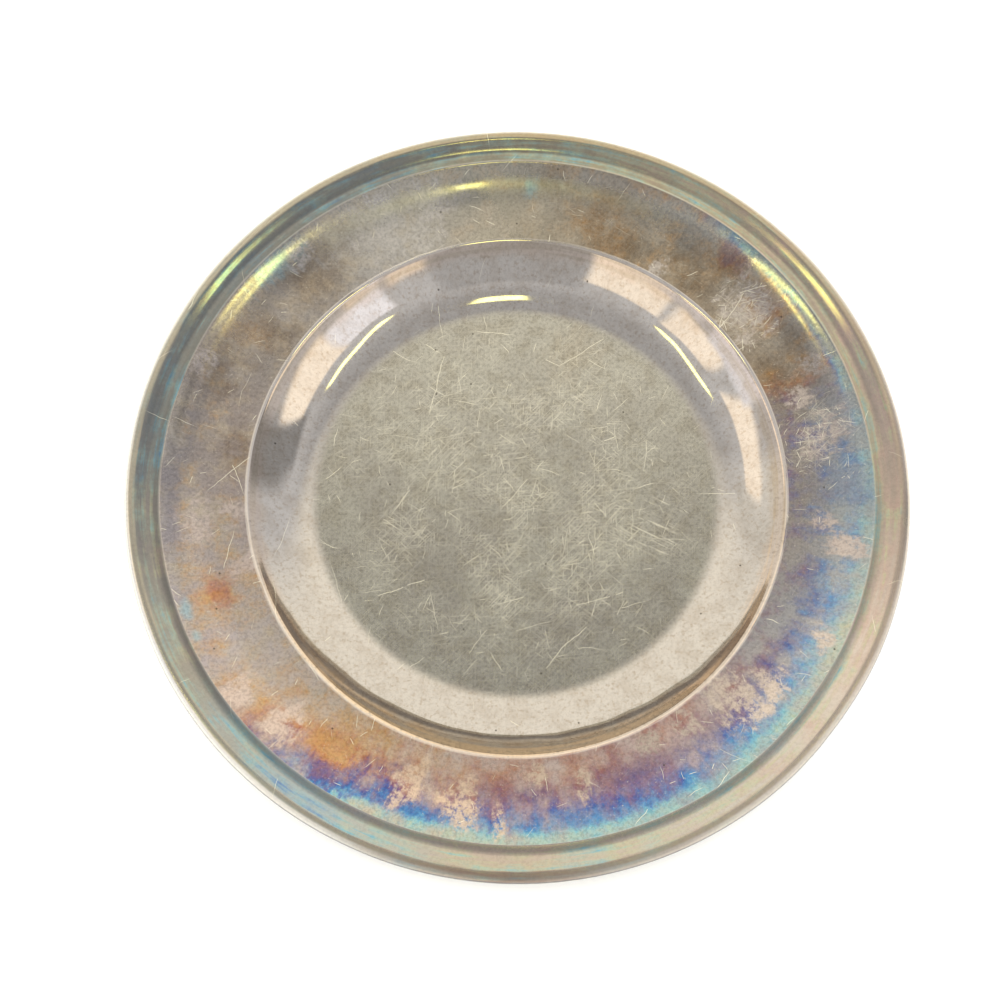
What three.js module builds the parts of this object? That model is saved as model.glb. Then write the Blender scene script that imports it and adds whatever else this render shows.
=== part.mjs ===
// Paten plate: a round silver-plated plate with a flat-bottomed well, a wide flange and a rolled lip.
// Units are millimetres. The origin is the centre of the face that the plate rests on, and +Z is up.
import * as THREE from "three";

// Driving dimensions
const PLATE_RADIUS = 127; // to the outside of the lip
const SHEET = 1.0; // thickness of the metal sheet, the same everywhere
const LIP_RADIUS = 2.9; // outside radius of the rolled lip's section, above and below its upright side
const LIP_SIDE = 1.0; // height of the lip's upright side
const LIP_START_SLOPE = 26; // degrees, where the border's inner face turns into the roll
const LIP_END_ANGLE = -172; // degrees round the roll's section, where the rolled edge stops
const WIRE_GAP = 0.3; // room between the stiffening wire and the roll around it
const TURN_SEGMENTS = 64; // facets round the plate
const WIRE_SIDES = 10; // facets round the wire's section
const ROLL_TOP_STEPS = 5; // facets over the top of the rolled lip
const ROLL_UNDER_STEPS = 7; // facets round the underside of the rolled lip

// The sheet's top face from the flat floor outwards. Each row is a radius and the slope there in degrees,
// and the face between two rows is one circular arc, cut into the given number of steps.
const FACE_ROWS = [
  { place: "edge of the flat floor", radius: 66.5, slope: 0, steps: 1 },
  { place: "foot of the well wall", radius: 68.0, slope: 7, steps: 1 },
  { place: "middle of the well wall", radius: 80.7, slope: 38.5, steps: 4 },
  { place: "steepest well wall", radius: 87.3, slope: 51, steps: 2 },
  { place: "shoulder, start of the flange", radius: 88.9, slope: 3, steps: 3 },
  { place: "middle of the flange", radius: 101.6, slope: 8, steps: 2 },
  { place: "upturn of the flange", radius: 108.3, slope: 19, steps: 2 },
  { place: "steepest upturn", radius: 112.6, slope: 31, steps: 1 },
  { place: "under the crest", radius: 115.1, slope: 26, steps: 1 },
  { place: "inner side of the channel", radius: 116.0, slope: -6, steps: 2 },
  { place: "outer side of the channel", radius: 118.6, slope: 8, steps: 1 },
  { place: "inner face of the border", radius: 120.1, slope: 24, steps: 1 },
  { place: "steepest border", radius: 121.4, slope: 30, steps: 1 },
];

const SILVER = new THREE.MeshStandardMaterial({ color: 0xb9b1a0, roughness: 0.28, metalness: 1 });
const STEEL = new THREE.MeshStandardMaterial({ color: 0x8c8d90, roughness: 0.45, metalness: 1 });

const radians = THREE.MathUtils.degToRad;

// One point of the sheet, with the direction that its top face rises in there.
function station(radius, height, slope) {
  return { radius, height, slope };
}

// The circular arc that leaves `start` and meets `radius` with `slope`, as stations in equal turns.
function arcTo(start, radius, slope, steps) {
  const rise = Math.sin(slope) - Math.sin(start.slope);
  const bend = (radius - start.radius) / rise;
  const arc = [];
  for (let i = 1; i <= steps; i += 1) {
    const heading = start.slope + ((slope - start.slope) * i) / steps;
    const along = start.radius + bend * (Math.sin(heading) - Math.sin(start.slope));
    const height = start.height + bend * (Math.cos(start.slope) - Math.cos(heading));
    arc.push(station(along, height, heading));
  }
  return arc;
}

// Part of the lip's round section, from one angle to another about a centre at the given height.
function rollAbout(centreHeight, first, last, steps) {
  const roll = [];
  for (let i = 0; i <= steps; i += 1) {
    const angle = first + ((last - first) * i) / steps;
    const radius = PLATE_RADIUS - LIP_RADIUS + LIP_RADIUS * Math.cos(angle);
    const height = centreHeight + LIP_RADIUS * Math.sin(angle);
    roll.push(station(radius, height, angle - Math.PI / 2));
  }
  return roll;
}

// The lip: over the top, down the upright side and back in below, round the wire.
function lipFrom(start) {
  const first = radians(90 + LIP_START_SLOPE);
  const topHeight = start.height - LIP_RADIUS * Math.sin(first);
  const wireHeight = topHeight - LIP_SIDE;
  const over = rollAbout(topHeight, first, 0, ROLL_TOP_STEPS);
  const under = rollAbout(wireHeight, 0, radians(LIP_END_ANGLE), ROLL_UNDER_STEPS);
  return { lip: [...over.slice(1), ...under], wireHeight };
}

// The whole top face, from the axis to the rolled edge.
function topFace() {
  const floor = FACE_ROWS[0];
  const face = [station(0, SHEET, 0), station(floor.radius, SHEET, 0)];
  for (const row of FACE_ROWS.slice(1)) {
    face.push(...arcTo(face.at(-1), row.radius, radians(row.slope), row.steps));
  }
  const rollStart = PLATE_RADIUS - LIP_RADIUS - LIP_RADIUS * Math.sin(radians(LIP_START_SLOPE));
  face.push(...arcTo(face.at(-1), rollStart, radians(LIP_START_SLOPE), 1));
  const { lip, wireHeight } = lipFrom(face.at(-1));
  face.push(...lip);
  return { face, wireHeight };
}

// A station's point on the top face, or that far below it, square to the face.
function pointBelow({ radius, height, slope }, depth) {
  return new THREE.Vector2(radius + depth * Math.sin(slope), height - depth * Math.cos(slope));
}

// A ring or disc turned about +Z from an outline given as radius and height.
function turned(outline) {
  const geometry = new THREE.LatheGeometry(outline, TURN_SEGMENTS);
  geometry.rotateX(Math.PI / 2);
  return geometry;
}

// The plate's one sheet: out along the top face to the rolled edge, and back along the underside.
function plateBody({ face }) {
  const top = face.map((place) => pointBelow(place, 0));
  const underside = face.map((place) => pointBelow(place, SHEET));
  const mesh = new THREE.Mesh(turned([...underside, ...top.reverse()]), SILVER);
  mesh.name = "plate_body";
  return mesh;
}

// The stiffening wire that the lip is rolled around.
function edgeWire({ wireHeight }) {
  const wireRadius = LIP_RADIUS - SHEET - WIRE_GAP;
  const section = [];
  for (let i = 0; i <= WIRE_SIDES; i += 1) {
    const angle = (2 * Math.PI * (i % WIRE_SIDES)) / WIRE_SIDES;
    const radius = PLATE_RADIUS - LIP_RADIUS + wireRadius * Math.cos(angle);
    const height = wireHeight + wireRadius * Math.sin(angle);
    section.push(new THREE.Vector2(radius, height));
  }
  const mesh = new THREE.Mesh(turned(section), STEEL);
  mesh.name = "edge_wire";
  return mesh;
}

const profile = topFace();
const plate = new THREE.Group();
plate.add(plateBody(profile), edgeWire(profile));

export default plate;
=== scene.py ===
import math

import bpy
import numpy as np
from mathutils import Matrix, Vector


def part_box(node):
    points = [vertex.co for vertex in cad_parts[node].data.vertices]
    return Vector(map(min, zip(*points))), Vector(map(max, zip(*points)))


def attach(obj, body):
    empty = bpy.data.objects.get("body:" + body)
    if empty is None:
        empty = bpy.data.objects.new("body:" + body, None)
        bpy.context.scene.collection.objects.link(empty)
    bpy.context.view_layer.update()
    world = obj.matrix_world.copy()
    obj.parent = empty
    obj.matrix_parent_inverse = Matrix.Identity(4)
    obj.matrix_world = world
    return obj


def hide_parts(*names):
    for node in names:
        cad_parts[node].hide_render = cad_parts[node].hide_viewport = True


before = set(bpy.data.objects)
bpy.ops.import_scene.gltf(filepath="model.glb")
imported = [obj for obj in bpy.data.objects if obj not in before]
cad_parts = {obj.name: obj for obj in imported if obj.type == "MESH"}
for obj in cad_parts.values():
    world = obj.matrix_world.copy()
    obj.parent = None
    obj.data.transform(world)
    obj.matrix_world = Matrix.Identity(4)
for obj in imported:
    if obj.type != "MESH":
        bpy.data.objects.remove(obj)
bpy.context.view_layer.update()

# ---------------------------------------------------------------------------------------------
# Driving dimensions
# ---------------------------------------------------------------------------------------------
_, PLATE_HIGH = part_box("plate_body")

# The sheet, the lip that it is rolled into and the wire. Slopes and angles are in degrees.
DESIGN_RADIUS = 127.0
MM = PLATE_HIGH.x / DESIGN_RADIUS
SHEET = 1.0
LIP_RADIUS = 2.9
LIP_SIDE = 1.0
LIP_START_SLOPE = 26.0
LIP_END_ANGLE = -178.0
WIRE_RADIUS = 1.65
# How far the highest point stays below the top of the CAD, and all of it is drawn in from its sides.
TOP_MARGIN = 0.02
SIDE_MARGIN = 0.05

# How finely the sections are divided.
TURN_STEPS = 384
FLOOR_RINGS = 30
DEGREES_PER_RING = 3.0
LENGTH_PER_RING = 1.2
WIRE_SIDES = 20

# The top face beyond the flat floor: radius and slope, joined by circular arcs.
FLOOR_EDGE = 65.2
FACE_ROWS = [
    (70.0, 12.0),
    (80.7, 40.0),
    (87.3, 47.0),
    (88.9, 3.0),
    (101.6, 8.0),
    (108.3, 19.0),
    (112.6, 31.0),
    (115.1, 26.0),
    (116.0, -3.0),
    (118.6, 7.0),
    (120.1, 22.0),
    (121.4, 29.0),
]
# Radii of the features that the materials are laid out by.
SHOULDER = 88.4
CREST = 115.6
CHANNEL = 117.2
BORDER = 121.0
LIP_TOP = DESIGN_RADIUS - LIP_RADIUS

# How far use has moved the sheet. Waves are depth, number round the plate and phase in radians.
FLOOR_RISE = 0.06
WALL_RISE = 0.022
FLANGE_RISE = 0.05
FLANGE_PUSH = 0.03
RIM_SAGS = [(0.22, 2, -0.6), (0.1, 3, 1.1)]
RIM_OVAL = (0.12, 2, 0.9)
# The knock in the rim: its place in degrees anticlockwise from +X, and how far it stands up and
# is pushed in.
KNOCK_TURN = -35
KNOCK_RISE = 0.3
KNOCK_PUSH = 0.42

# The studio's brightness, which the base colours allow for.
STUDIO_LEVEL = 1.3


# ---------------------------------------------------------------------------------------------
# Shape
# ---------------------------------------------------------------------------------------------
def arc_stations(start, radius, slope):
    """Stations (radius, height, slope) along the arc from start to a radius and slope, after start."""
    r0, z0, s0 = start
    bend = (radius - r0) / (math.sin(slope) - math.sin(s0))
    turned = math.degrees(abs(slope - s0))
    steps = math.ceil(max(turned / DEGREES_PER_RING, (radius - r0) / LENGTH_PER_RING))
    headings = s0 + (slope - s0) * np.arange(1, steps + 1) / steps
    radii = r0 + bend * (np.sin(headings) - math.sin(s0))
    heights = z0 + bend * (math.cos(s0) - np.cos(headings))
    return list(zip(radii, heights, headings))


def roll_stations(centre_height, first, last):
    """Stations round the lip's section, from one angle to another."""
    steps = math.ceil(math.degrees(abs(last - first)) / (2 * DEGREES_PER_RING))
    angles = np.linspace(first, last, steps + 1)
    radii = LIP_TOP + LIP_RADIUS * np.cos(angles)
    heights = centre_height + LIP_RADIUS * np.sin(angles)
    return list(zip(radii, heights, angles - math.pi / 2))


def face_stations():
    """The whole top face from the axis to the end of the rolled edge, and the wire's height."""
    stations = [(r, SHEET, 0.0) for r in np.linspace(0, FLOOR_EDGE, FLOOR_RINGS)]
    for radius, slope in FACE_ROWS:
        stations += arc_stations(stations[-1], radius, math.radians(slope))
    start_slope = math.radians(LIP_START_SLOPE)
    roll_start = LIP_TOP - LIP_RADIUS * math.sin(start_slope)
    stations += arc_stations(stations[-1], roll_start, start_slope)
    top_height = stations[-1][1] - LIP_RADIUS * math.cos(start_slope)
    wire_height = top_height - LIP_SIDE
    stations += roll_stations(top_height, math.pi / 2 + start_slope, 0.0)[1:]
    stations += roll_stations(wire_height, 0.0, math.radians(LIP_END_ANGLE))
    return np.array(stations), wire_height


def ripple(x, y, wavelength, seed, waves=9):
    """A smooth random field between about -1 and 1, as the sum of plane waves."""
    random = np.random.default_rng(seed)
    total = np.zeros_like(x)
    for _ in range(waves):
        heading = random.uniform(0, 2 * math.pi)
        length = wavelength * random.uniform(0.7, 1.4)
        phase = random.uniform(0, 2 * math.pi)
        along = x * math.cos(heading) + y * math.sin(heading)
        total += np.sin(2 * math.pi * along / length + phase)
    return total / math.sqrt(2 * waves)


def smoothstep(value, low, high):
    """0 below a range, 1 above it and a smooth rise between."""
    t = np.clip((value - low) / (high - low), 0, 1)
    return t * t * (3 - 2 * t)


def bump_at(turn, centre, width):
    """1 at an angle in degrees and falling away round the plate, over a width in degrees."""
    apart = (np.degrees(turn) - centre + 180) % 360 - 180
    return np.exp(-((apart / width) ** 2))


def waves_round(turn, depth, count, phase):
    """A dip in waves round the plate, from 0 to twice the depth."""
    return depth * (1 - np.cos(count * turn + phase))


def knocked(points):
    """The points of the sheet after years of use: a slightly uneven floor, wall, flange and rim."""
    x, y, z = points.T
    radius = np.hypot(x, y)
    turn = np.arctan2(y, x)
    floor = 1 - smoothstep(radius, 50, 68)
    wall = smoothstep(radius, 67, 72) * (1 - smoothstep(radius, 84, 90))
    flange = smoothstep(radius, 84, 96)
    rim = smoothstep(radius, 92, 124)
    lift = FLOOR_RISE * floor * (1 + ripple(x, y, 52, 3))
    lift += FLANGE_RISE * flange * ripple(x, y, 42, 11)
    lift += WALL_RISE * wall * ripple(x, y, 13, 21)
    lift += KNOCK_RISE * rim * (bump_at(turn, KNOCK_TURN, 11) - 1)
    for sag in RIM_SAGS:
        lift -= rim * waves_round(turn, *sag)
    push = FLANGE_PUSH * flange * ripple(x, y, 30, 5) - SIDE_MARGIN
    push -= KNOCK_PUSH * rim * bump_at(turn, KNOCK_TURN, 9)
    push -= rim * waves_round(turn, *RIM_OVAL)
    shrink = 1 + push / np.maximum(radius, 1)
    return np.stack([x * shrink, y * shrink, z + lift], axis=1)


def lathe(outline, closed):
    """Vertices and faces of an outline (radius, height) turned about the axis, faces outward."""
    turns = 2 * math.pi * np.arange(TURN_STEPS) / TURN_STEPS
    vertices = []
    rings = []
    for radius, height in outline:
        first = len(vertices)
        if radius < 1e-6:
            vertices.append((0.0, 0.0, height))
            rings.append([first] * TURN_STEPS)
            continue
        ring = [(radius * math.cos(t), radius * math.sin(t), height) for t in turns]
        vertices += ring
        rings.append(list(range(first, first + TURN_STEPS)))
    faces = []
    pairs = list(zip(rings, rings[1:]))
    if closed:
        pairs.append((rings[-1], rings[0]))
    for inner, outer in pairs:
        for i in range(TURN_STEPS):
            j = (i + 1) % TURN_STEPS
            corners = [inner[i], outer[i], outer[j], inner[j]]
            faces.append(list(dict.fromkeys(corners)))
    return np.array(vertices), faces


def mesh_piece(name, vertices, faces, materials, chooser=None):
    """A smooth mesh object in metres, with one material or one chosen for each face."""
    mesh = bpy.data.meshes.new(name)
    mesh.from_pydata((vertices * MM).tolist(), [], faces)
    for material in materials:
        mesh.materials.append(material)
    if chooser is not None:
        mesh.polygons.foreach_set("material_index", chooser)
    mesh.polygons.foreach_set("use_smooth", [True] * len(faces))
    mesh.update()
    piece = bpy.data.objects.new(name, mesh)
    bpy.context.scene.collection.objects.link(piece)
    return piece


def plate_sheet(materials):
    """The plate's one sheet, out along the top to the rolled edge and back along the underside.

    Its materials are those of the well, the flange, the border and the underside.
    """
    stations, _ = face_stations()
    radius, height, slope = stations.T
    below = np.stack([radius + SHEET * np.sin(slope), height - SHEET * np.cos(slope)], axis=1)
    below[0, 0] = 0.0
    above = np.stack([radius, height], axis=1)
    outline = np.concatenate([above, below[::-1]])
    vertices, faces = lathe(outline, closed=False)
    vertices = knocked(vertices)
    vertices[:, 2] += min(0.0, PLATE_HIGH.z / MM - TOP_MARGIN - vertices[:, 2].max())
    vertices[:, 2] = np.maximum(vertices[:, 2], 0.0)
    outer_band = int(np.argmin(np.abs(slope + math.pi / 2)))
    band = np.searchsorted([SHOULDER, CREST], (outline[1:, 0] + outline[:-1, 0]) / 2)
    band[outer_band:] = len(materials) - 1
    return mesh_piece("plate_sheet", vertices, faces, materials, np.repeat(band, TURN_STEPS))


def stiffening_wire(material):
    """The wire inside the rolled lip."""
    _, wire_height = face_stations()
    angles = 2 * math.pi * np.arange(WIRE_SIDES) / WIRE_SIDES
    outline = np.stack(
        [LIP_TOP + WIRE_RADIUS * np.cos(angles), wire_height - WIRE_RADIUS * np.sin(angles)], axis=1
    )
    vertices, faces = lathe(outline, closed=True)
    return mesh_piece("stiffening_wire", knocked(vertices), faces, [material])


# ---------------------------------------------------------------------------------------------
# Node trees
# ---------------------------------------------------------------------------------------------
BLACK = (0.0, 0.0, 0.0, 1.0)
# How many of a patch's own sizes its field reaches out, so that its ragged edge isn't cut off.
PATCH_REACH = 4.0


class Field:
    """A number or colour that varies over the surface. Arithmetic on it adds Math nodes."""

    def __init__(self, graph, socket):
        self.graph = graph
        self.socket = socket

    def __add__(self, other):
        return self.graph.math("ADD", self, other)

    def __radd__(self, other):
        return self.graph.math("ADD", other, self)

    def __sub__(self, other):
        return self.graph.math("SUBTRACT", self, other)

    def __rsub__(self, other):
        return self.graph.math("SUBTRACT", other, self)

    def __mul__(self, other):
        return self.graph.math("MULTIPLY", self, other)

    def __rmul__(self, other):
        return self.graph.math("MULTIPLY", other, self)

    def __truediv__(self, other):
        return self.graph.math("DIVIDE", self, other)


class Graph:
    """Adds nodes to a tree by plain calls that return Fields."""

    def __init__(self, tree):
        self.tree = tree
        tree.nodes.clear()

    def add(self, kind, inputs, **settings):
        """A new node. Its inputs are Fields, which are linked, or plain values."""
        node = self.tree.nodes.new(kind)
        for name, value in settings.items():
            setattr(node, name, value)
        for key, value in inputs.items():
            if isinstance(value, Field):
                self.tree.links.new(value.socket, node.inputs[key])
            else:
                node.inputs[key].default_value = value
        return node

    def field(self, node, output=0):
        return Field(self, node.outputs[output])

    def math(self, operation, a, b=0.0, c=0.0, clamp=False):
        inputs = {0: a, 1: b, 2: c}
        return self.field(self.add("ShaderNodeMath", inputs, operation=operation, use_clamp=clamp))

    def mix(self, factor, a, b):
        """Colour a, or b where the factor is 1."""
        inputs = {0: factor, 6: a, 7: b}
        return self.field(self.add("ShaderNodeMix", inputs, data_type="RGBA", clamp_factor=True), 2)

    def multiply(self, factor, a, b):
        """Colour a, or a times b where the factor is 1."""
        inputs = {0: factor, 6: a, 7: b}
        settings = {"data_type": "RGBA", "blend_type": "MULTIPLY", "clamp_factor": True}
        return self.field(self.add("ShaderNodeMix", inputs, **settings), 2)

    def darken(self, factor, colour):
        """The colour without a share of its light."""
        return self.multiply(factor, colour, BLACK)

    def smooth(self, value, low, high, to_low=0.0, to_high=1.0):
        """A smooth change from one level to another as a value crosses a range."""
        inputs = {0: value, 1: low, 2: high, 3: to_low, 4: to_high}
        return self.field(self.add("ShaderNodeMapRange", inputs, interpolation_type="SMOOTHSTEP"))

    def ramp(self, factor, stops):
        """A colour, or a level where the stops hold plain numbers, from (place, value) stops."""
        node = self.add("ShaderNodeValToRGB", {0: factor})
        ramp = node.color_ramp
        levels = isinstance(stops[0][1], float)
        while len(ramp.elements) < len(stops):
            ramp.elements.new(0.5)
        for element, (place, value) in zip(ramp.elements, stops):
            element.position = place
            element.color = (value, value, value, value) if levels else value
        return self.field(node, "Alpha" if levels else "Color")

    def vector(self, x, y, z=0.0):
        return self.field(self.add("ShaderNodeCombineXYZ", {0: x, 1: y, 2: z}))

    def vector_math(self, operation, a, b=(0, 0, 0), output=0, scale=1.0):
        node = self.add("ShaderNodeVectorMath", {0: a, 1: b, 3: scale}, operation=operation)
        return self.field(node, output)

    def noise(self, vector, size, detail=3.0, roughness=0.55, offset=0.0, colour=False):
        """Noise whose blotches are about `size` across, in the vector's own units."""
        moved = self.vector_math("ADD", vector, (offset, offset * 1.7, offset * 0.6))
        inputs = {"Vector": moved, "Scale": 1.0 / size, "Detail": detail, "Roughness": roughness}
        return self.field(self.add("ShaderNodeTexNoise", inputs), 1 if colour else 0)

    def cells(self, vector, size):
        """Distance to the nearest of scattered points, the point's own colour and its place."""
        inputs = {"Vector": vector, "Scale": 1.0 / size}
        node = self.add("ShaderNodeTexVoronoi", inputs, voronoi_dimensions="2D")
        return self.field(node, "Distance"), self.field(node, "Color"), self.field(node, "Position")

    def split(self, vector):
        node = self.add("ShaderNodeSeparateXYZ", {0: vector})
        return self.field(node, 0), self.field(node, 1), self.field(node, 2)


def rgb(red, green, blue):
    """The base colour that looks like a display colour, 0 to 255, where the studio is brightest."""

    def linear(level):
        level /= 255
        return (level / 12.92 if level <= 0.04045 else ((level + 0.055) / 1.055) ** 2.4) / STUDIO_LEVEL

    return (linear(red), linear(green), linear(blue), 1.0)


class PlateGraph(Graph):
    """A material's tree with the places on the plate that every layer is laid out by."""

    def __init__(self, name):
        self.material = bpy.data.materials.new(name)
        self.material.use_nodes = True
        super().__init__(self.material.node_tree)
        coordinates = self.add("ShaderNodeTexCoord", {})
        place = self.field(coordinates, "Object")
        _, _, self.upward = self.split(self.field(coordinates, "Normal"))
        self.place = self.vector_math("SCALE", place, scale=1 / MM)
        self.x, self.y, _ = self.split(self.place)
        self.flat = self.vector(self.x, self.y)
        self.radius = self.math("SQRT", self.x * self.x + self.y * self.y)
        self.east = self.x / self.radius
        self.north = self.y / self.radius
        clockwise = self.math("ARCTAN2", self.y * -1.0, self.x) / (2 * math.pi)
        sway = (self.noise(self.flat, 22, detail=4, offset=71) - 0.5) * 0.05
        self.turn = self.math("FRACT", clockwise + sway + 1.0)
        rags = self.noise(self.flat, 6, detail=7, roughness=0.68, offset=23)
        streaks = self.noise(self.along_radius(3.4, 17), 1, detail=5, roughness=0.66, offset=3)
        self.rags = rags * 0.55 + streaks * 0.45
        self.ragged = (self.rags - 0.5) * (6.0 / PATCH_REACH)
        self.rubs = self.noise(self.along_radius(16, 1.3), 1, detail=4, roughness=0.6, offset=7)

    def along_radius(self, width, length):
        """Coordinates in which noise is `width` mm wide round the flange and `length` mm along it."""
        round_scale = 104 / width
        return self.vector(self.east * round_scale, self.north * round_scale, self.radius / length)

    def rings(self, spacing):
        """Coordinates in which noise makes turning lines about `spacing` mm apart."""
        return self.vector(self.east * 1.5, self.north * 1.5, self.radius / spacing)

    def around(self, stops):
        """A level or colour from (degrees clockwise from +X, value) stops, closed round the plate."""
        ends = [(0, stops[0][1]), *stops[1:], (360, stops[0][1])]
        return self.ramp(self.turn, [(angle / 360, value) for angle, value in ends])

    def patch(self, degrees, radius, size, length=1.0, soft=0.2):
        """1 on a ragged patch at an angle and radius, `length` times as long along the radius."""
        turn = math.radians(-degrees)
        inputs = {
            "Vector": self.flat,
            "Location": (radius * math.cos(turn), radius * math.sin(turn), 0),
            "Rotation": (0, 0, turn),
            "Scale": (size * length * PATCH_REACH, size * PATCH_REACH, 1),
        }
        placed = self.field(self.add("ShaderNodeMapping", inputs, vector_type="TEXTURE"))
        near = self.field(self.add("ShaderNodeTexGradient", {0: placed}, gradient_type="SPHERICAL"), 1)
        low = 1.0 - (1.0 + soft) / PATCH_REACH
        high = 1.0 - (1.0 - soft) / PATCH_REACH
        return self.smooth(near - self.ragged, low, high)

    def any_of(self, rows, soft=0.2):
        """1 on any of the patches in a table."""
        found = self.patch(*rows[0], soft=soft)
        for row in rows[1:]:
            found = self.math("MAXIMUM", found, self.patch(*row, soft=soft))
        return found

    def beyond(self, low, high):
        """1 where the lip's outside has turned past a range of angles from the vertical."""
        tilted = self.smooth(self.upward, math.cos(math.radians(low)), math.cos(math.radians(high)))
        return tilted * self.math("GREATER_THAN", self.radius, LIP_TOP - 0.4)

    def scratches(self, size, length, width, share, seed, heading=0.0, spread=360.0):
        """Scratches, one to a cell of `size` mm, on a share of the cells."""
        wander = self.vector_math("SCALE", self.noise(self.flat, 18, offset=seed, colour=True), scale=5.0)
        shifted = self.vector_math("ADD", self.flat, wander)
        shifted = self.vector_math("ADD", shifted, (seed * 37.0, seed * 61.0, 0.0))
        _, colour, centre = self.cells(shifted, size)
        chance, turned, fade = self.split(colour)
        east, north, _ = self.split(self.vector_math("SUBTRACT", shifted, centre))
        angle = turned * math.radians(spread) + math.radians(heading - spread / 2)
        cosine = self.math("COSINE", angle)
        sine = self.math("SINE", angle)
        along = self.math("ABSOLUTE", east * cosine + north * sine)
        across = self.math("ABSOLUTE", north * cosine - east * sine)
        line = self.smooth(across, width, width * 0.3)
        ends = self.smooth(along, length * 0.5, length * 0.2)
        kept = self.math("GREATER_THAN", share, chance)
        return line * ends * kept * (fade * 0.7 + 0.3)

    def hairlines(self, heading, width, length, seed, cut=0.62):
        """Fine parallel hairlines along a heading in degrees."""
        node = self.add("ShaderNodeVectorRotate", {0: self.flat, 3: math.radians(-heading)},
                        rotation_type="Z_AXIS")
        lined = self.vector_math("MULTIPLY", self.field(node), (1 / length, 1 / width, 1))
        return self.smooth(self.noise(lined, 1, detail=2, offset=seed), cut, cut + 0.1)

    def pits(self, size, reach, share, seed):
        """Round specks `reach` mm in radius, one to a cell of `size` mm on a share of the cells."""
        shifted = self.vector_math("ADD", self.flat, (seed * 17.0, seed * 29.0, 0.0))
        apart, colour, _ = self.cells(shifted, size)
        chance, _, _ = self.split(colour)
        kept = self.math("GREATER_THAN", share, chance)
        return self.smooth(apart * size, reach, reach * 0.5) * kept


# ---------------------------------------------------------------------------------------------
# Materials
# ---------------------------------------------------------------------------------------------
# Angles in the tables are degrees clockwise from +X, seen from above.

# The colours that a tarnish film on silver shows as it thickens.
TARNISH = [
    (0.00, rgb(226, 218, 204)),
    (0.10, rgb(214, 203, 185)),
    (0.20, rgb(200, 184, 160)),
    (0.30, rgb(212, 166, 106)),
    (0.38, rgb(200, 136, 92)),
    (0.45, rgb(166, 112, 116)),
    (0.52, rgb(126, 98, 144)),
    (0.60, rgb(80, 106, 176)),
    (0.68, rgb(90, 150, 206)),
    (0.77, rgb(144, 200, 214)),
    (0.86, rgb(190, 210, 192)),
    (0.93, rgb(212, 206, 170)),
    (1.00, rgb(216, 188, 172)),
]
# Film thickness by angle, for the inside and outside of the flange, its last few millimetres,
# the channel beyond the crest, and the border.
FILM_INNER = [
    (0, 0.56), (20, 0.50), (45, 0.44), (62, 0.42), (90, 0.38), (110, 0.32), (127, 0.26),
    (145, 0.20), (160, 0.26), (180, 0.18), (210, 0.20), (240, 0.10), (262, 0.16), (285, 0.22),
    (328, 0.20), (340, 0.54),
]
FILM_OUTER = [
    (0, 0.72), (12, 0.72), (24, 0.75), (45, 0.74), (60, 0.73), (75, 0.70), (90, 0.72), (105, 0.67),
    (118, 0.58), (130, 0.50), (142, 0.26), (156, 0.24), (175, 0.22), (200, 0.20), (225, 0.20),
    (242, 0.12), (262, 0.18), (285, 0.22), (302, 0.24), (330, 0.26), (345, 0.60),
]
FILM_EDGE = [
    (0, 0.80), (25, 0.86), (60, 0.80), (80, 0.82), (105, 0.86), (120, 0.74), (132, 0.50),
    (145, 0.24), (160, 0.16), (185, 0.12), (200, 0.14), (228, 0.16),
    (250, 0.14), (285, 0.28), (300, 0.34), (306, 0.74), (328, 0.90), (345, 0.80),
]
FILM_CHANNEL = [
    (0, 0.90), (40, 0.90), (70, 0.88), (88, 1.00), (105, 0.98), (118, 0.86), (130, 0.84),
    (145, 0.98), (165, 0.98), (178, 0.84), (205, 0.82), (240, 0.82), (258, 0.84), (275, 0.88),
    (320, 0.93),
]
FILM_BORDER = [
    (0, 1.00), (40, 1.00), (62, 0.94), (80, 0.88), (95, 0.94), (108, 0.84), (118, 0.74),
    (132, 0.80), (150, 0.90), (180, 0.88), (215, 0.84), (245, 0.86), (270, 0.90), (300, 0.94),
    (330, 0.99),
]
# Greyed, handled metal over the film, by angle: its colour at the inside and outside of the flange
# and on the border, and how much of the film it veils there.
GREY_INNER = [
    (0, rgb(162, 154, 142)), (30, rgb(180, 180, 178)), (60, rgb(224, 204, 194)),
    (90, rgb(214, 198, 188)), (120, rgb(226, 210, 194)), (150, rgb(192, 182, 180)),
    (180, rgb(168, 156, 154)), (210, rgb(158, 150, 146)), (240, rgb(182, 178, 174)),
    (262, rgb(182, 174, 156)), (285, rgb(152, 140, 124)), (300, rgb(148, 136, 120)),
    (330, rgb(158, 146, 132)),
]
GREY_OUTER = [
    (0, rgb(176, 178, 176)), (30, rgb(194, 188, 184)), (60, rgb(168, 152, 160)),
    (90, rgb(200, 178, 166)), (120, rgb(224, 196, 166)), (150, rgb(184, 176, 182)),
    (180, rgb(160, 152, 152)), (210, rgb(184, 172, 160)), (240, rgb(198, 192, 182)),
    (262, rgb(190, 186, 170)), (285, rgb(180, 174, 164)), (300, rgb(186, 184, 176)),
    (330, rgb(182, 178, 170)),
]
VEIL_INNER = [
    (0, 0.92), (40, 0.74), (65, 0.64), (100, 0.58), (120, 0.42), (140, 0.80), (160, 0.66),
    (180, 0.85), (215, 0.85), (245, 0.95), (285, 0.80), (330, 0.80),
]
VEIL_OUTER = [
    (0, 0.92), (20, 0.58), (45, 0.34), (60, 0.22), (88, 0.28), (105, 0.36), (118, 0.24),
    (135, 0.65), (156, 0.60), (175, 0.80), (215, 0.85), (245, 0.95), (285, 0.85), (308, 0.75),
    (325, 0.88), (345, 0.95),
]
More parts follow.
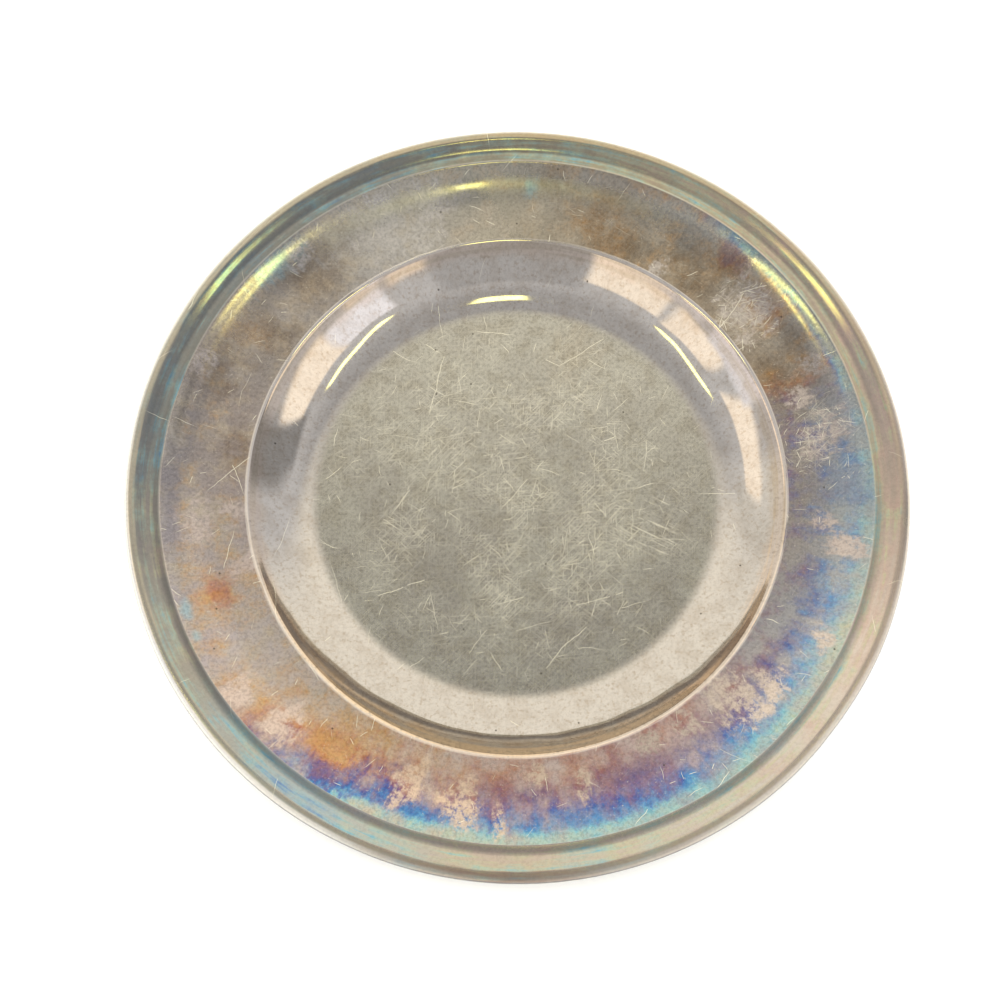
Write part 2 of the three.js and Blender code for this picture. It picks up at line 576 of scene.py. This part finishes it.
VEIL_BORDER = [
    (0, 0.62), (120, 0.64), (135, 0.80), (160, 0.85), (178, 0.95), (245, 0.95), (275, 0.70), (300, 0.60),
]
GREY_BORDER = [
    (0, rgb(198, 182, 166)), (25, rgb(228, 214, 200)), (60, rgb(212, 208, 198)),
    (90, rgb(210, 194, 176)), (120, rgb(186, 194, 194)), (145, rgb(178, 172, 162)),
    (175, rgb(150, 148, 146)), (240, rgb(154, 152, 148)), (270, rgb(164, 156, 138)),
    (300, rgb(192, 178, 154)), (330, rgb(192, 178, 162)),
]
# Painted shade: how much light the border keeps by angle, and how much darker the groove beyond the crest
# is painted.
BORDER_PAINTED_SHADE = [
    (0, 0.92), (30, 1.0), (90, 0.94), (120, 0.98), (150, 0.90), (180, 0.82), (240, 0.86),
    (270, 0.92), (300, 1.0), (330, 0.98),
]
GROOVE_SHADE = 0.16
# The warm tone at the top of the well's wall, made brighter on the near half by painted light, and how far
# the shoulder ridge is worn bright and painted with a highlight.
WALL_TOP_TONE_AND_PAINTED_LIGHT = [
    (0, rgb(210, 188, 158)), (30, rgb(276, 238, 198)), (60, rgb(276, 242, 206)),
    (90, rgb(262, 228, 188)), (120, rgb(274, 240, 194)), (150, rgb(256, 228, 198)),
    (180, rgb(208, 192, 172)), (300, rgb(204, 188, 168)),
]
RIDGE_WEAR_AND_HIGHLIGHT = [
    (0, 0.55), (60, 0.45), (90, 0.40), (150, 0.50), (200, 0.85), (240, 0.95), (262, 0.35),
    (285, 0.45), (300, 0.95), (340, 0.80),
]
# How much rougher the flange and the lip are than their polish, by angle.
DULLED = [
    (0, 0.0), (196, 0.0), (205, 0.12), (213, 0.12), (217, 0.0), (227, 0.0), (233, 0.16),
    (252, 0.16), (256, 0.0), (262, 0.0), (266, 0.16), (290, 0.16), (302, 0.0),
]
LIP_ROUGHNESS = [(0, 0.10), (25, 0.32), (125, 0.32), (145, 0.10)]
# The lip's tone, darker and redder at the front as painted reflection, and how strongly a painted
# reflection lightens its outside, by angle.
LIP_TONE_AND_PAINTED_REFLECTION = [
    (0, rgb(190, 172, 156)), (45, rgb(196, 182, 168)), (75, rgb(176, 158, 144)),
    (90, rgb(150, 124, 112)), (105, rgb(176, 160, 144)), (130, rgb(196, 186, 166)),
    (180, rgb(200, 190, 170)), (225, rgb(214, 202, 176)), (270, rgb(204, 184, 148)),
    (330, rgb(190, 174, 150)),
]
LIP_PAINTED_REFLECTION = [
    (0, 0.25), (25, 0.4), (60, 0.4), (76, 0.2), (90, 0.0), (104, 0.25), (118, 0.85), (195, 0.85),
    (215, 0.5), (240, 0.35), (280, 0.3), (315, 0.5), (340, 0.3),
]
# How strongly the film is broken up, by angle.
BROKEN_UP = [
    (0, 0.9), (30, 0.8), (52, 0.45), (92, 0.5), (106, 1.0), (196, 1.0), (206, 0.35), (226, 0.35),
    (232, 0.9), (300, 0.9), (308, 0.4), (330, 0.4), (336, 0.9),
]
# Places where the film differs: angle, radius, size, length along the radius, thickness and
# how much of the place it takes.
FILM_SPOTS = [
    (122, 103, 7.5, 1.0, 0.325, 1.0), (121, 111, 7.0, 0.5, 0.54, 0.9), (157, 102, 6.0, 1.0, 0.43, 0.8),
    (310, 109, 6.0, 0.8, 0.66, 0.5), (358, 108, 8.0, 1.2, 0.64, 0.3), (67, 102, 10.0, 0.6, 0.52, 0.8),
    (92, 101, 6.0, 1.2, 0.46, 0.7), (208, 105, 7.0, 1.0, 0.33, 0.4), (285, 99, 9.0, 0.9, 0.30, 0.4),
    (322, 104, 7.0, 1.0, 0.54, 0.4),
]
# The tables of places below hold angle, radius, size and length along the radius.
# Pale blue: small drops and one wider film.
DROPS = [(156, 113, 2.6, 0.5), (151, 113, 1.6, 0.7), (271, 107, 1.8, 1.5), (221, 112, 9.0, 0.35)]
# Where scratches crowd on the flange.
CROWDED = [(319, 100, 10.0, 1.0), (348, 103, 10.0, 1.0)]
# Darker clouds on the flange.
CLOUDED = [
    (226, 102, 13.0, 0.9), (213, 96, 8.0, 1.0), (200, 104, 9.0, 1.0), (288, 98, 13.0, 0.9),
    (304, 96, 12.0, 0.8), (312, 104, 9.0, 0.9), (335, 95, 12.0, 0.8), (330, 104, 8.0, 0.9),
    (275, 110, 8.0, 0.6), (186, 94, 8.0, 0.8),
]
# Rubbed back to the metal, and the metal's tone there, by angle.
RUBBED = [
    (107, 101, 4.6, 1.7), (108, 107, 4.4, 1.0), (97, 105, 5.4, 1.4), (91, 109, 2.0, 2.6),
    (76, 99, 2.2, 2.4), (62, 92, 3.6, 1.2), (54, 94, 3.8, 0.9), (43, 99, 8.0, 1.2),
    (38, 103, 5.5, 1.0), (9, 108, 4.0, 1.5), (5, 101, 3.6, 1.0), (171, 103, 6.6, 0.9),
    (173, 92, 4.0, 1.6), (141, 111, 4.4, 1.3), (131, 106, 5.0, 1.2), (242, 103, 10.0, 1.0),
    (252, 106, 9.0, 0.8), (319, 100, 8.0, 1.1), (348, 104, 7.0, 1.0), (226, 110, 5.0, 0.7),
    (200, 112, 4.4, 0.8), (335, 107, 4.0, 1.0), (26, 110, 3.4, 1.0), (84, 94, 3.0, 1.0),
    (323, 94, 4.0, 1.0), (340, 99, 4.0, 1.0), (300, 92, 4.0, 1.0), (247, 95, 7.0, 0.8), (160, 92, 4.0, 1.0),
]
RUBBED_TONE = [
    (0, rgb(216, 198, 188)), (45, rgb(240, 220, 200)), (60, rgb(212, 198, 180)),
    (100, rgb(248, 218, 186)), (130, rgb(234, 210, 194)), (172, rgb(214, 198, 190)),
    (245, rgb(214, 208, 200)), (320, rgb(216, 204, 192)),
]
# Rows of scratches: cell size, length, width and seed.
WELL_SCRATCHES = [(16, 18, 0.13, 2), (8, 9, 0.12, 4), (4, 4.4, 0.10, 5)]
FLANGE_SCRATCHES = [(16, 18, 0.13, 2), (8, 9, 0.12, 4), (5, 5.5, 0.11, 5), (3.2, 3.4, 0.11, 8)]
# Rows of hairlines: heading, width, length and seed.
HAIRLINES = [(-36, 0.19, 10, 17), (8, 0.17, 9, 19), (90, 0.17, 7, 27)]

# Tones of the metal and of the marks on it.
SCRATCHED = rgb(280, 272, 246)
# Light metal on turned edges: wear, and painted highlight.
WORN_AND_HIGHLIT = rgb(246, 236, 226)
PITTED = rgb(70, 62, 52)
DROP_TONE = rgb(160, 204, 216)
CLOUD_TONE = rgb(244, 233, 220)
PALE_SPECKS = rgb(240, 230, 214)
FLOOR_PLAIN = rgb(202, 197, 182)
FLOOR_GREYED = rgb(190, 184, 171)
# Painted light: the lighter tone of the floor's far side.
FLOOR_PAINTED_LIGHT = rgb(222, 217, 202)
FLOOR_STAINED = rgb(176, 167, 148)
FLOOR_FADED = rgb(214, 210, 195)
FLOOR_BROWNED = rgb(192, 170, 138)
WALL_PLAIN = rgb(230, 222, 212)
WALL_GREYED = rgb(218, 208, 196)
WALL_BANDED = rgb(224, 206, 190)
WALL_SPECKLED = rgb(196, 180, 162)
WALL_MARKED = rgb(176, 160, 142)
# Painted reflection: the light band on the lip's outside.
LIP_PAINTED_REFLECTION_COLOUR = rgb(250, 246, 236)
# Painted shade: the dark band low on the lip's outside.
LIP_PAINTED_SHADE = rgb(124, 124, 124)
UNDER_PLAIN = rgb(184, 178, 166)
UNDER_SCRATCHED = rgb(236, 228, 210)
WIRE_TONES = [(0.35, rgb(96, 92, 86)), (0.65, rgb(142, 139, 132))]


def blotches_and_clouds(graph):
    """Two random fields, each about 0, that break up the film on the flange and border."""
    blotches = graph.noise(graph.flat, 12, detail=7, roughness=0.7, offset=5) - 0.5
    clouds = graph.noise(graph.flat, 8, detail=6, roughness=0.64, offset=51) - 0.5
    return blotches, clouds


def grain(graph):
    """A fine random field that the well, flange and border share."""
    return graph.noise(graph.flat, 1.1, detail=5, roughness=0.65, offset=9)


def flange_film(graph, out, blotches, specks, rags):
    """Thickness of the film on the flange, and how far its spots stand clear of the veil."""
    edge = graph.smooth(graph.radius + rags * 5.0, CREST - 5.4, CREST - 1.4)
    inner = graph.around(FILM_INNER)
    film = inner + (graph.around(FILM_OUTER) - inner) * out
    film = film + (graph.around(FILM_EDGE) - film) * edge
    film = film + (blotches * 0.34 + specks * 0.24 + rags * 0.25) * graph.around(BROKEN_UP)
    bare = 1.0
    for *place, thickness, share in FILM_SPOTS:
        spot = graph.patch(*place, soft=0.7) * share
        film = film + (thickness + blotches * 0.2 + specks * 0.15 - film) * spot
        bare = bare * (1.0 - spot * 0.75)
    return film, bare


def flange_colour(graph):
    """The flange: films of every colour under greyed metal, clouded and rubbed through in places."""
    blotches, clouds = blotches_and_clouds(graph)
    specks = graph.noise(graph.flat, 1.6, detail=5, roughness=0.7, offset=9) - 0.5
    rags = graph.rags - 0.5
    out = graph.smooth(graph.radius + rags * 14.0, SHOULDER + 3, CREST - 1)
    film, bare = flange_film(graph, out, blotches, specks, rags)
    inner = graph.around(VEIL_INNER)
    veil = inner + (graph.around(VEIL_OUTER) - inner) * out
    veil = graph.math("MULTIPLY", veil + clouds * 2.8 - rags * 1.4, 1.0, clamp=True) * bare * 0.9
    greyed = graph.mix(out, graph.around(GREY_INNER), graph.around(GREY_OUTER))
    colour = graph.mix(veil, graph.ramp(film, TARNISH), greyed)

    clouded = graph.any_of(CLOUDED, soft=0.9) * graph.smooth(blotches + rags, -0.2, 0.1)
    colour = graph.multiply(clouded, colour, CLOUD_TONE)
    colour = graph.mix(graph.any_of(DROPS, soft=0.9) * 0.55, colour, DROP_TONE)
    rubbed = graph.any_of(RUBBED, soft=0.4) * graph.smooth(clouds + specks * 1.5, -0.24, 0.1)
    return graph.mix(rubbed * 0.8, colour, graph.around(RUBBED_TONE))


def border_colour(graph):
    """The channel, border and lip: paler films in streaks along the turning, a light lip, painted shade on
    the border and groove, and painted reflection and shade on the lip.
    """
    blotches, clouds = blotches_and_clouds(graph)
    rubs = graph.rubs - 0.5
    on_torus = graph.smooth(graph.radius + blotches * 2.0, CHANNEL - 0.2, BORDER - 1.0)
    channel = graph.around(FILM_CHANNEL)
    film = channel + (graph.around(FILM_BORDER) - channel) * on_torus + blotches * 0.5 + rubs * 0.4
    veil = clouds * 2.0 + rubs * 2.4 + graph.around(VEIL_BORDER)
    veil = graph.math("MULTIPLY", veil, 1.0, clamp=True) * 0.9
    colour = graph.mix(veil, graph.ramp(film, TARNISH), graph.around(GREY_BORDER))

    # Painted shade: the groove beyond the crest is darkened.
    groove = graph.smooth(graph.math("ABSOLUTE", graph.radius - CREST - 1.1 + rubs), 1.5, 0.3)
    colour = graph.darken(groove * GROOVE_SHADE, colour)
    # Painted shade: the border is darkened by angle.
    colour = graph.darken(1.0 - graph.around(BORDER_PAINTED_SHADE), colour)
    lip = graph.smooth(graph.radius + rubs * 1.6, LIP_TOP - 1.4, LIP_TOP - 0.4)
    # The lip's tone includes painted reflection, darker and redder at the front.
    colour = graph.mix(lip * (0.7 + rubs), colour, graph.around(LIP_TONE_AND_PAINTED_REFLECTION))
    # Painted reflection: a light band where the lip's outside turns from the vertical.
    bright = graph.beyond(12, 30) * graph.around(LIP_PAINTED_REFLECTION)
    colour = graph.mix(bright, colour, LIP_PAINTED_REFLECTION_COLOUR)
    # Painted shade: a dark grey band low on the lip's outside.
    return graph.mix(graph.beyond(58, 70) * 0.8, colour, LIP_PAINTED_SHADE)


def well_colour(graph):
    """The well: a greyed floor with stains, and a brighter wall with ochre under its edge."""
    cloud = graph.noise(graph.flat, 24, detail=5, roughness=0.6, offset=31)
    stain = graph.noise(graph.flat, 7, detail=6, roughness=0.66, offset=57)
    floor = graph.mix(graph.smooth(cloud, 0.4, 0.6), FLOOR_PLAIN, FLOOR_GREYED)
    # Painted light: the floor is lighter towards the far side.
    far_painted_light = graph.smooth(graph.y + (cloud - 0.5) * 60.0, -20, 60)
    floor = graph.mix(far_painted_light * 0.5, floor, FLOOR_PAINTED_LIGHT)
    floor = graph.mix(graph.smooth(stain, 0.48, 0.6) * 0.4, floor, FLOOR_STAINED)
    floor = graph.mix(graph.smooth(stain, 0.45, 0.36) * 0.3, floor, FLOOR_FADED)
    floor = graph.mix(graph.patch(288, 55, 7, 1.5, soft=0.9) * 0.25, floor, FLOOR_BROWNED)

    wall = graph.mix(graph.smooth(stain, 0.42, 0.66), WALL_PLAIN, WALL_GREYED)
    upper = graph.smooth(graph.radius + (stain - 0.5) * 6.0, 82.4, 86.0)
    bands = graph.noise(graph.rings(1.1), 1, detail=3, roughness=0.6, offset=91)
    # Painted light: the wall's top is brighter on the near half.
    ochre = graph.mix(graph.smooth(bands, 0.42, 0.6), graph.around(WALL_TOP_TONE_AND_PAINTED_LIGHT), WALL_BANDED)
    wall = graph.mix(upper * 0.75, wall, ochre)
    fine = graph.noise(graph.flat, 1.4, detail=5, roughness=0.7, offset=61)
    wall = graph.mix(graph.smooth(fine, 0.52, 0.64) * 0.6, wall, WALL_SPECKLED)
    marks = graph.pits(7, 1.4, 0.5, 3) - graph.pits(7, 1.1, 0.5, 3)
    wall = graph.mix(marks * 0.25, wall, WALL_MARKED)
    edge = graph.smooth(graph.radius + (stain - 0.5) * 3.0, FLOOR_EDGE + 4.0, FLOOR_EDGE)
    return graph.mix(edge, wall, floor)


def worn_and_highlit_line(graph, colour, radius, reach, wear_and_highlight):
    """The colour with light metal along a turned edge: uneven wear, partly painted highlight."""
    line = graph.smooth(graph.math("ABSOLUTE", graph.radius - radius), reach, reach * 0.4)
    return graph.mix(line * graph.smooth(graph.rubs, 0.3, 0.5) * wear_and_highlight, colour, WORN_AND_HIGHLIT)


def pitted(graph, colour):
    """The colour with a few small dark pits."""
    return graph.mix(graph.pits(13, 0.4, 0.12, 1) * 0.8, colour, PITTED)


def long_marks(graph, share, rows):
    """The strongest of long slanting scratches and several rows, on a share of their cells."""
    marks = graph.scratches(27, 32, 0.16, share, 1, heading=48, spread=80)
    for size, length, width, seed in rows:
        marks = graph.math("MAXIMUM", marks, graph.scratches(size, length, width, share, seed))
    return marks


def hair_marks(graph):
    """Fine hairlines along four headings, the first the densest."""
    lines = graph.hairlines(48, 0.19, 12, 13, 0.57)
    for row in HAIRLINES:
        lines = graph.math("MAXIMUM", lines, graph.hairlines(*row, 0.59))
    return lines


def finish(graph, inputs, height, depth):
    """Ends a tree in a metallic shader with a little relief, `depth` in millimetres."""
    relief = graph.add("ShaderNodeBump", {"Strength": 0.5, "Distance": depth * MM, "Height": height})
    shader = graph.add("ShaderNodeBsdfPrincipled", inputs)
    graph.tree.links.new(relief.outputs[0], shader.inputs["Normal"])
    output = graph.add("ShaderNodeOutputMaterial", {})
    graph.tree.links.new(shader.outputs[0], output.inputs[0])


def well_silver():
    """The well: a satin floor, scratched most in the middle, and a bright wall."""
    graph = PlateGraph("silver_well")
    floor = graph.smooth(graph.radius, FLOOR_EDGE + 4.0, FLOOR_EDGE)
    middle = graph.smooth(graph.radius, 78, 25)
    crowd = graph.smooth(graph.noise(graph.flat, 24, detail=3, offset=83), 0.36, 0.6)
    fine = grain(graph)
    colour = graph.darken(graph.smooth(fine, 0.56, 0.38, 0.07, 0.17) * (floor + 1.0), well_colour(graph))
    colour = worn_and_highlit_line(graph, colour, SHOULDER, 0.75, graph.around(RIDGE_WEAR_AND_HIGHLIGHT))
    share = (crowd * 0.8 + 0.06) * (middle + 0.1 * floor) + 0.02
    marks = long_marks(graph, share, WELL_SCRATCHES)
    combed = graph.hairlines(-24, 0.7, 16, 29, 0.56) * graph.patch(11, 46, 9, 1.0, soft=0.6)
    hair = hair_marks(graph) * (0.05 + 0.09 * floor + 0.5 * crowd * middle)
    marks = graph.math("MAXIMUM", marks, graph.math("MAXIMUM", combed * 0.6, hair))
    colour = graph.mix(marks * 0.9, colour, SCRATCHED)
    colour = pitted(graph, colour)
    turned = graph.noise(graph.rings(0.45), 1, detail=2, offset=37)
    inputs = {"Base Color": colour, "Roughness": 0.06 + 0.21 * floor + 0.12 * marks, "Metallic": 1.0}
    finish(graph, inputs, height=fine * 0.4 + turned * 0.5 - marks, depth=0.003)
    return graph.material


def flange_silver():
    """The flange: rainbow tarnish, with scratches crowded in two places."""
    graph = PlateGraph("silver_flange")
    fine = grain(graph)
    specks = graph.noise(graph.flat, 0.8, detail=3, roughness=0.7, offset=15)
    colour = graph.darken(graph.smooth(fine, 0.56, 0.38) * 0.2, flange_colour(graph))
    colour = graph.mix(graph.smooth(specks, 0.62, 0.7) * 0.4, colour, PALE_SPECKS)
    colour = worn_and_highlit_line(graph, colour, SHOULDER, 0.75, graph.around(RIDGE_WEAR_AND_HIGHLIGHT))
    colour = worn_and_highlit_line(graph, colour, CREST, 0.5, 0.2)
    crowd = graph.any_of(CROWDED, soft=0.7)
    marks = long_marks(graph, crowd * 0.8 + 0.06, FLANGE_SCRATCHES)
    marks = graph.math("MAXIMUM", marks, hair_marks(graph) * (0.08 + 0.3 * crowd))
    colour = graph.mix(marks * 0.9, colour, SCRATCHED)
    colour = pitted(graph, colour)
    inner = graph.smooth(graph.radius, CREST - 2, CREST - 6)
    rough = 0.15 + (graph.rags - 0.5) * 0.3 + graph.around(DULLED) * inner + 0.12 * marks
    inputs = {"Base Color": colour, "Roughness": rough, "Metallic": 1.0}
    finish(graph, inputs, height=fine, depth=0.0012)
    return graph.material


def border_silver():
    """The channel, border and rolled lip, streaked along the turning."""
    graph = PlateGraph("silver_border")
    fine = grain(graph)
    colour = graph.darken(graph.smooth(fine, 0.56, 0.38) * 0.08, border_colour(graph))
    colour = worn_and_highlit_line(graph, colour, CREST, 0.5, 0.2)
    marks = graph.scratches(8, 9, 0.12, 0.08, 4)
    colour = graph.mix(marks * 0.6, colour, SCRATCHED)
    lip = graph.smooth(graph.radius, LIP_TOP - 0.9, LIP_TOP - 0.1)
    rough = 0.15 + (graph.rubs - 0.5) * 0.2 + graph.around(LIP_ROUGHNESS) * lip
    inputs = {"Base Color": colour, "Roughness": rough, "Metallic": 1.0}
    finish(graph, inputs, height=fine * 0.4, depth=0.003)
    return graph.material


def under_silver():
    """The underside: duller plating with turning lines and scratches."""
    graph = PlateGraph("tarnished_silver_underside")
    cloud = graph.noise(graph.flat, 30, detail=5, roughness=0.6, offset=41)
    lines = graph.noise(graph.rings(0.5), 1, detail=3, roughness=0.6, offset=43)
    film = 0.08 + 0.16 * graph.smooth(cloud, 0.35, 0.75)
    colour = graph.ramp(film + (lines - 0.5) * 0.05, TARNISH)
    colour = graph.mix(0.5, colour, UNDER_PLAIN)
    colour = graph.multiply(0.5, colour, graph.ramp(lines, [(0.3, 0.8), (0.7, 1.0)]))
    marks = graph.scratches(18, 16, 0.15, 0.6, 7)
    colour = graph.mix(marks * 0.5, colour, UNDER_SCRATCHED)
    inputs = {"Base Color": colour, "Roughness": 0.3 + 0.1 * cloud + 0.1 * marks, "Metallic": 1.0}
    finish(graph, inputs, height=lines + marks * -0.5, depth=0.006)
    return graph.material


def dull_wire():
    """Drawn steel wire, greyed inside the roll."""
    graph = PlateGraph("dull_wire")
    spots = graph.noise(graph.place, 1.2, detail=4, roughness=0.6)
    colour = graph.ramp(spots, WIRE_TONES)
    inputs = {"Base Color": colour, "Roughness": 0.35 + 0.25 * spots, "Metallic": 1.0}
    finish(graph, inputs, height=spots, depth=0.01)
    return graph.material


# ---------------------------------------------------------------------------------------------
# Studio
# ---------------------------------------------------------------------------------------------
# The camera: distance in plate radii, angles in degrees, focal length in picture widths, and the
# height of the point on the plate's axis that it is set out from.
CAMERA_DISTANCE = 3.93
CAMERA_TILT = 17.19
CAMERA_ROLL = 1.92
FOCAL_WIDTHS = 1.539
AIM_RIGHT = 0.625
AIM_DOWN = 0.685
AIM_HEIGHT = 18.4

# Tints of the room, its far wall and its soft boxes.
ROOM = (0.97, 0.98, 1.02)
CREAM = (1.0, 0.965, 0.88)
PEACH = (1.0, 0.91, 0.80)
WHITE = (0.95, 0.96, 1.04)
# Brightness of the ceiling and the walls.
CEILING = 0.5
SIDE_WALL = 0.70
FAR_WALL = 1.04
# Soft boxes around the plate: azimuth, elevation, width and height in degrees, brightness and tint.
SOFT_BOXES = [
    (-184, 30, 28, 22, 1.34, PEACH),
    (-150, 32, 20, 20, 1.34, PEACH),
    (-124, 30, 26, 18, 1.28, PEACH),
    (-162, 16, 22, 14, 1.08, WHITE),
    (-136, 14, 22, 13, 1.00, WHITE),
    (-33, 31, 24, 21, 1.24, WHITE),
    (-11, 31, 26, 25, 1.34, PEACH),
    (-54, 19, 12, 12, 1.10, PEACH),
    (-40, 14, 13, 14, 1.05, PEACH),
    (-150, 2, 66, 12, 1.10, WHITE),
    (-32, 2, 56, 12, 1.05, WHITE),
]
# Dark standing screens between them: azimuth, elevation, width, height and what they let through.
SCREENS = [
    (10, 26, 17, 46, 0.5),
    (-205, 30, 10, 44, 0.66),
    (-86, 28, 50, 52, 0.74),
]
# Strip lamps on the ceiling: ranges of x/z and y/z.
LAMPS = [
    ((-0.70, -0.62), (-0.50, -0.06)),
    ((0.62, 0.70), (-0.50, -0.04)),
    ((0.00, 0.10), (-0.23, -0.11)),
]
LAMP_LIGHT = (4.2, 4.1, 1.6, 1.0)
# The pale floor's radius and how far it lies below the plate, in metres.
FLOOR_REACH = 6.0
FLOOR_GAP = 0.0001
FLOOR_SIDES = 96


def tinted(brightness, tint):
    """The colour of a light with a tint, at a brightness."""
    return (*[brightness * level for level in tint], 1.0)


def window(graph, value, low, high, edge):
    """1 between two levels of a field, with soft edges."""
    rise = graph.smooth(value, low - edge, low + edge)
    fall = graph.smooth(value, high + edge, high - edge)
    return rise * fall


def box_of_directions(graph, azimuth, elevation, box, edge):
    """1 inside a box of directions, given by its centre and size in degrees."""
    centre, height, wide, tall = box
    apart = graph.math("WRAP", azimuth - centre, 180.0, -180.0)
    across = window(graph, apart, -wide / 2, wide / 2, edge)
    return across * window(graph, elevation, height - tall / 2, height + tall / 2, edge)


def studio_light():
    """A soft studio: a dim ceiling, a bright far wall, soft boxes, screens and three strip lamps."""
    world = bpy.data.worlds.new("studio")
    bpy.context.scene.world = world
    world.use_nodes = True
    graph = Graph(world.node_tree)
    direction = graph.field(graph.add("ShaderNodeTexCoord", {}), "Generated")
    x, y, z = graph.split(direction)
    azimuth = graph.math("ARCTAN2", y, x) * (180 / math.pi)
    elevation = graph.math("ARCSINE", graph.math("MINIMUM", z, 1.0)) * (180 / math.pi)
    towards_far = graph.math("ARCTAN2", y, z) * (180 / math.pi)

    light = graph.smooth(elevation, 76, 44, CEILING, SIDE_WALL)
    for *box, passed in SCREENS:
        light = light * (1.0 - (1 - passed) * box_of_directions(graph, azimuth, elevation, box, 4))
    colour = graph.mix(light, BLACK, tinted(1.0, ROOM))
    # The far wall begins a little past the zenith and fades out to both sides.
    far = graph.smooth(towards_far, 7, 24)
    aside = x / graph.math("MAXIMUM", y, 0.05)
    far = far * graph.smooth(y, 0.04, 0.2)
    far = far * graph.smooth(aside, 1.9, 0.7) * graph.smooth(aside, -2.0, -0.7, 0.6, 1.0)
    colour = graph.mix(far, colour, tinted(FAR_WALL, CREAM))
    for *box, brightness, tint in SOFT_BOXES:
        inside = box_of_directions(graph, azimuth, elevation, box, 1.8)
        colour = graph.mix(inside, colour, tinted(brightness, tint))
    ceiling_x = x / graph.math("MAXIMUM", z, 0.05)
    ceiling_y = y / graph.math("MAXIMUM", z, 0.05)
    for span_x, span_y in LAMPS:
        inside = window(graph, ceiling_x, *span_x, 0.015) * window(graph, ceiling_y, *span_y, 0.015)
        colour = graph.mix(inside, colour, LAMP_LIGHT)

    background = graph.add("ShaderNodeBackground", {"Color": colour, "Strength": STUDIO_LEVEL})
    backdrop = graph.add("ShaderNodeBackground", {"Color": (1.0, 1.0, 1.0, 1), "Strength": 1.0})
    seen = graph.field(graph.add("ShaderNodeLightPath", {}), "Is Camera Ray")
    mixed = graph.add("ShaderNodeMixShader", {0: seen})
    output = graph.add("ShaderNodeOutputWorld", {})
    graph.tree.links.new(background.outputs[0], mixed.inputs[1])
    graph.tree.links.new(backdrop.outputs[0], mixed.inputs[2])
    graph.tree.links.new(mixed.outputs[0], output.inputs[0])


def floor_light():
    """A large soft light overhead that keeps the floor pale and isn't mirrored in the plate."""
    light = bpy.data.lights.new("overhead", "AREA")
    light.shape = "DISK"
    light.size = 2.4
    light.energy = 40
    lamp = bpy.data.objects.new("overhead", light)
    lamp.location = (0, 0, 1.8)
    lamp.visible_glossy = False
    lamp.visible_camera = False
    bpy.context.scene.collection.objects.link(lamp)


def pale_floor():
    """A plain pale floor, a disc far larger than the view."""
    turns = 2 * math.pi * np.arange(FLOOR_SIDES) / FLOOR_SIDES
    rim = [(FLOOR_REACH * math.cos(t), FLOOR_REACH * math.sin(t), 0.0) for t in turns]
    faces = [(0, i + 1, (i + 1) % FLOOR_SIDES + 1) for i in range(FLOOR_SIDES)]
    mesh = bpy.data.meshes.new("floor")
    mesh.from_pydata([(0.0, 0.0, 0.0), *rim], [], faces)
    material = bpy.data.materials.new("pale_floor")
    material.use_nodes = True
    shader = material.node_tree.nodes["Principled BSDF"]
    shader.inputs["Base Color"].default_value = (0.93, 0.93, 0.925, 1)
    shader.inputs["Roughness"].default_value = 0.7
    mesh.materials.append(material)
    floor = bpy.data.objects.new("floor", mesh)
    floor.location.z = -FLOOR_GAP
    bpy.context.scene.collection.objects.link(floor)


def rotated(axes, angle, about):
    """The camera's right, up and back directions, turned by degrees about a direction."""
    turn = Matrix.Rotation(math.radians(angle), 3, about)
    return [turn @ axis for axis in axes]


def camera():
    """The camera at the picture's angle, turned a little so that the plate isn't dead centre."""
    tilt = math.radians(CAMERA_TILT)
    toward = Vector((0, -math.sin(tilt), math.cos(tilt)))
    right = Vector((1, 0, 0))
    axes = rotated([right, toward.cross(right), toward], CAMERA_ROLL, toward)
    axes = rotated(axes, AIM_RIGHT, axes[1])
    axes = rotated(axes, -AIM_DOWN, axes[0])
    data = bpy.data.cameras.new("camera")
    data.sensor_width = 36
    data.lens = 36 * FOCAL_WIDTHS
    data.clip_start = 0.01
    view = bpy.data.objects.new("camera", data)
    place = Vector((0, 0, AIM_HEIGHT * MM)) + toward * CAMERA_DISTANCE * PLATE_HIGH.x
    view.matrix_world = Matrix.Translation(place) @ Matrix(axes).transposed().to_4x4()
    bpy.context.scene.collection.objects.link(view)
    bpy.context.scene.camera = view


# ---------------------------------------------------------------------------------------------
# The scene
# ---------------------------------------------------------------------------------------------
camera()
studio_light()
floor_light()
pale_floor()
bpy.context.scene.view_settings.view_transform = "Standard"

sheet = plate_sheet([well_silver(), flange_silver(), border_silver(), under_silver()])
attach(sheet, "root")
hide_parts("plate_body")

wire = stiffening_wire(dull_wire())
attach(wire, "root")
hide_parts("edge_wire")
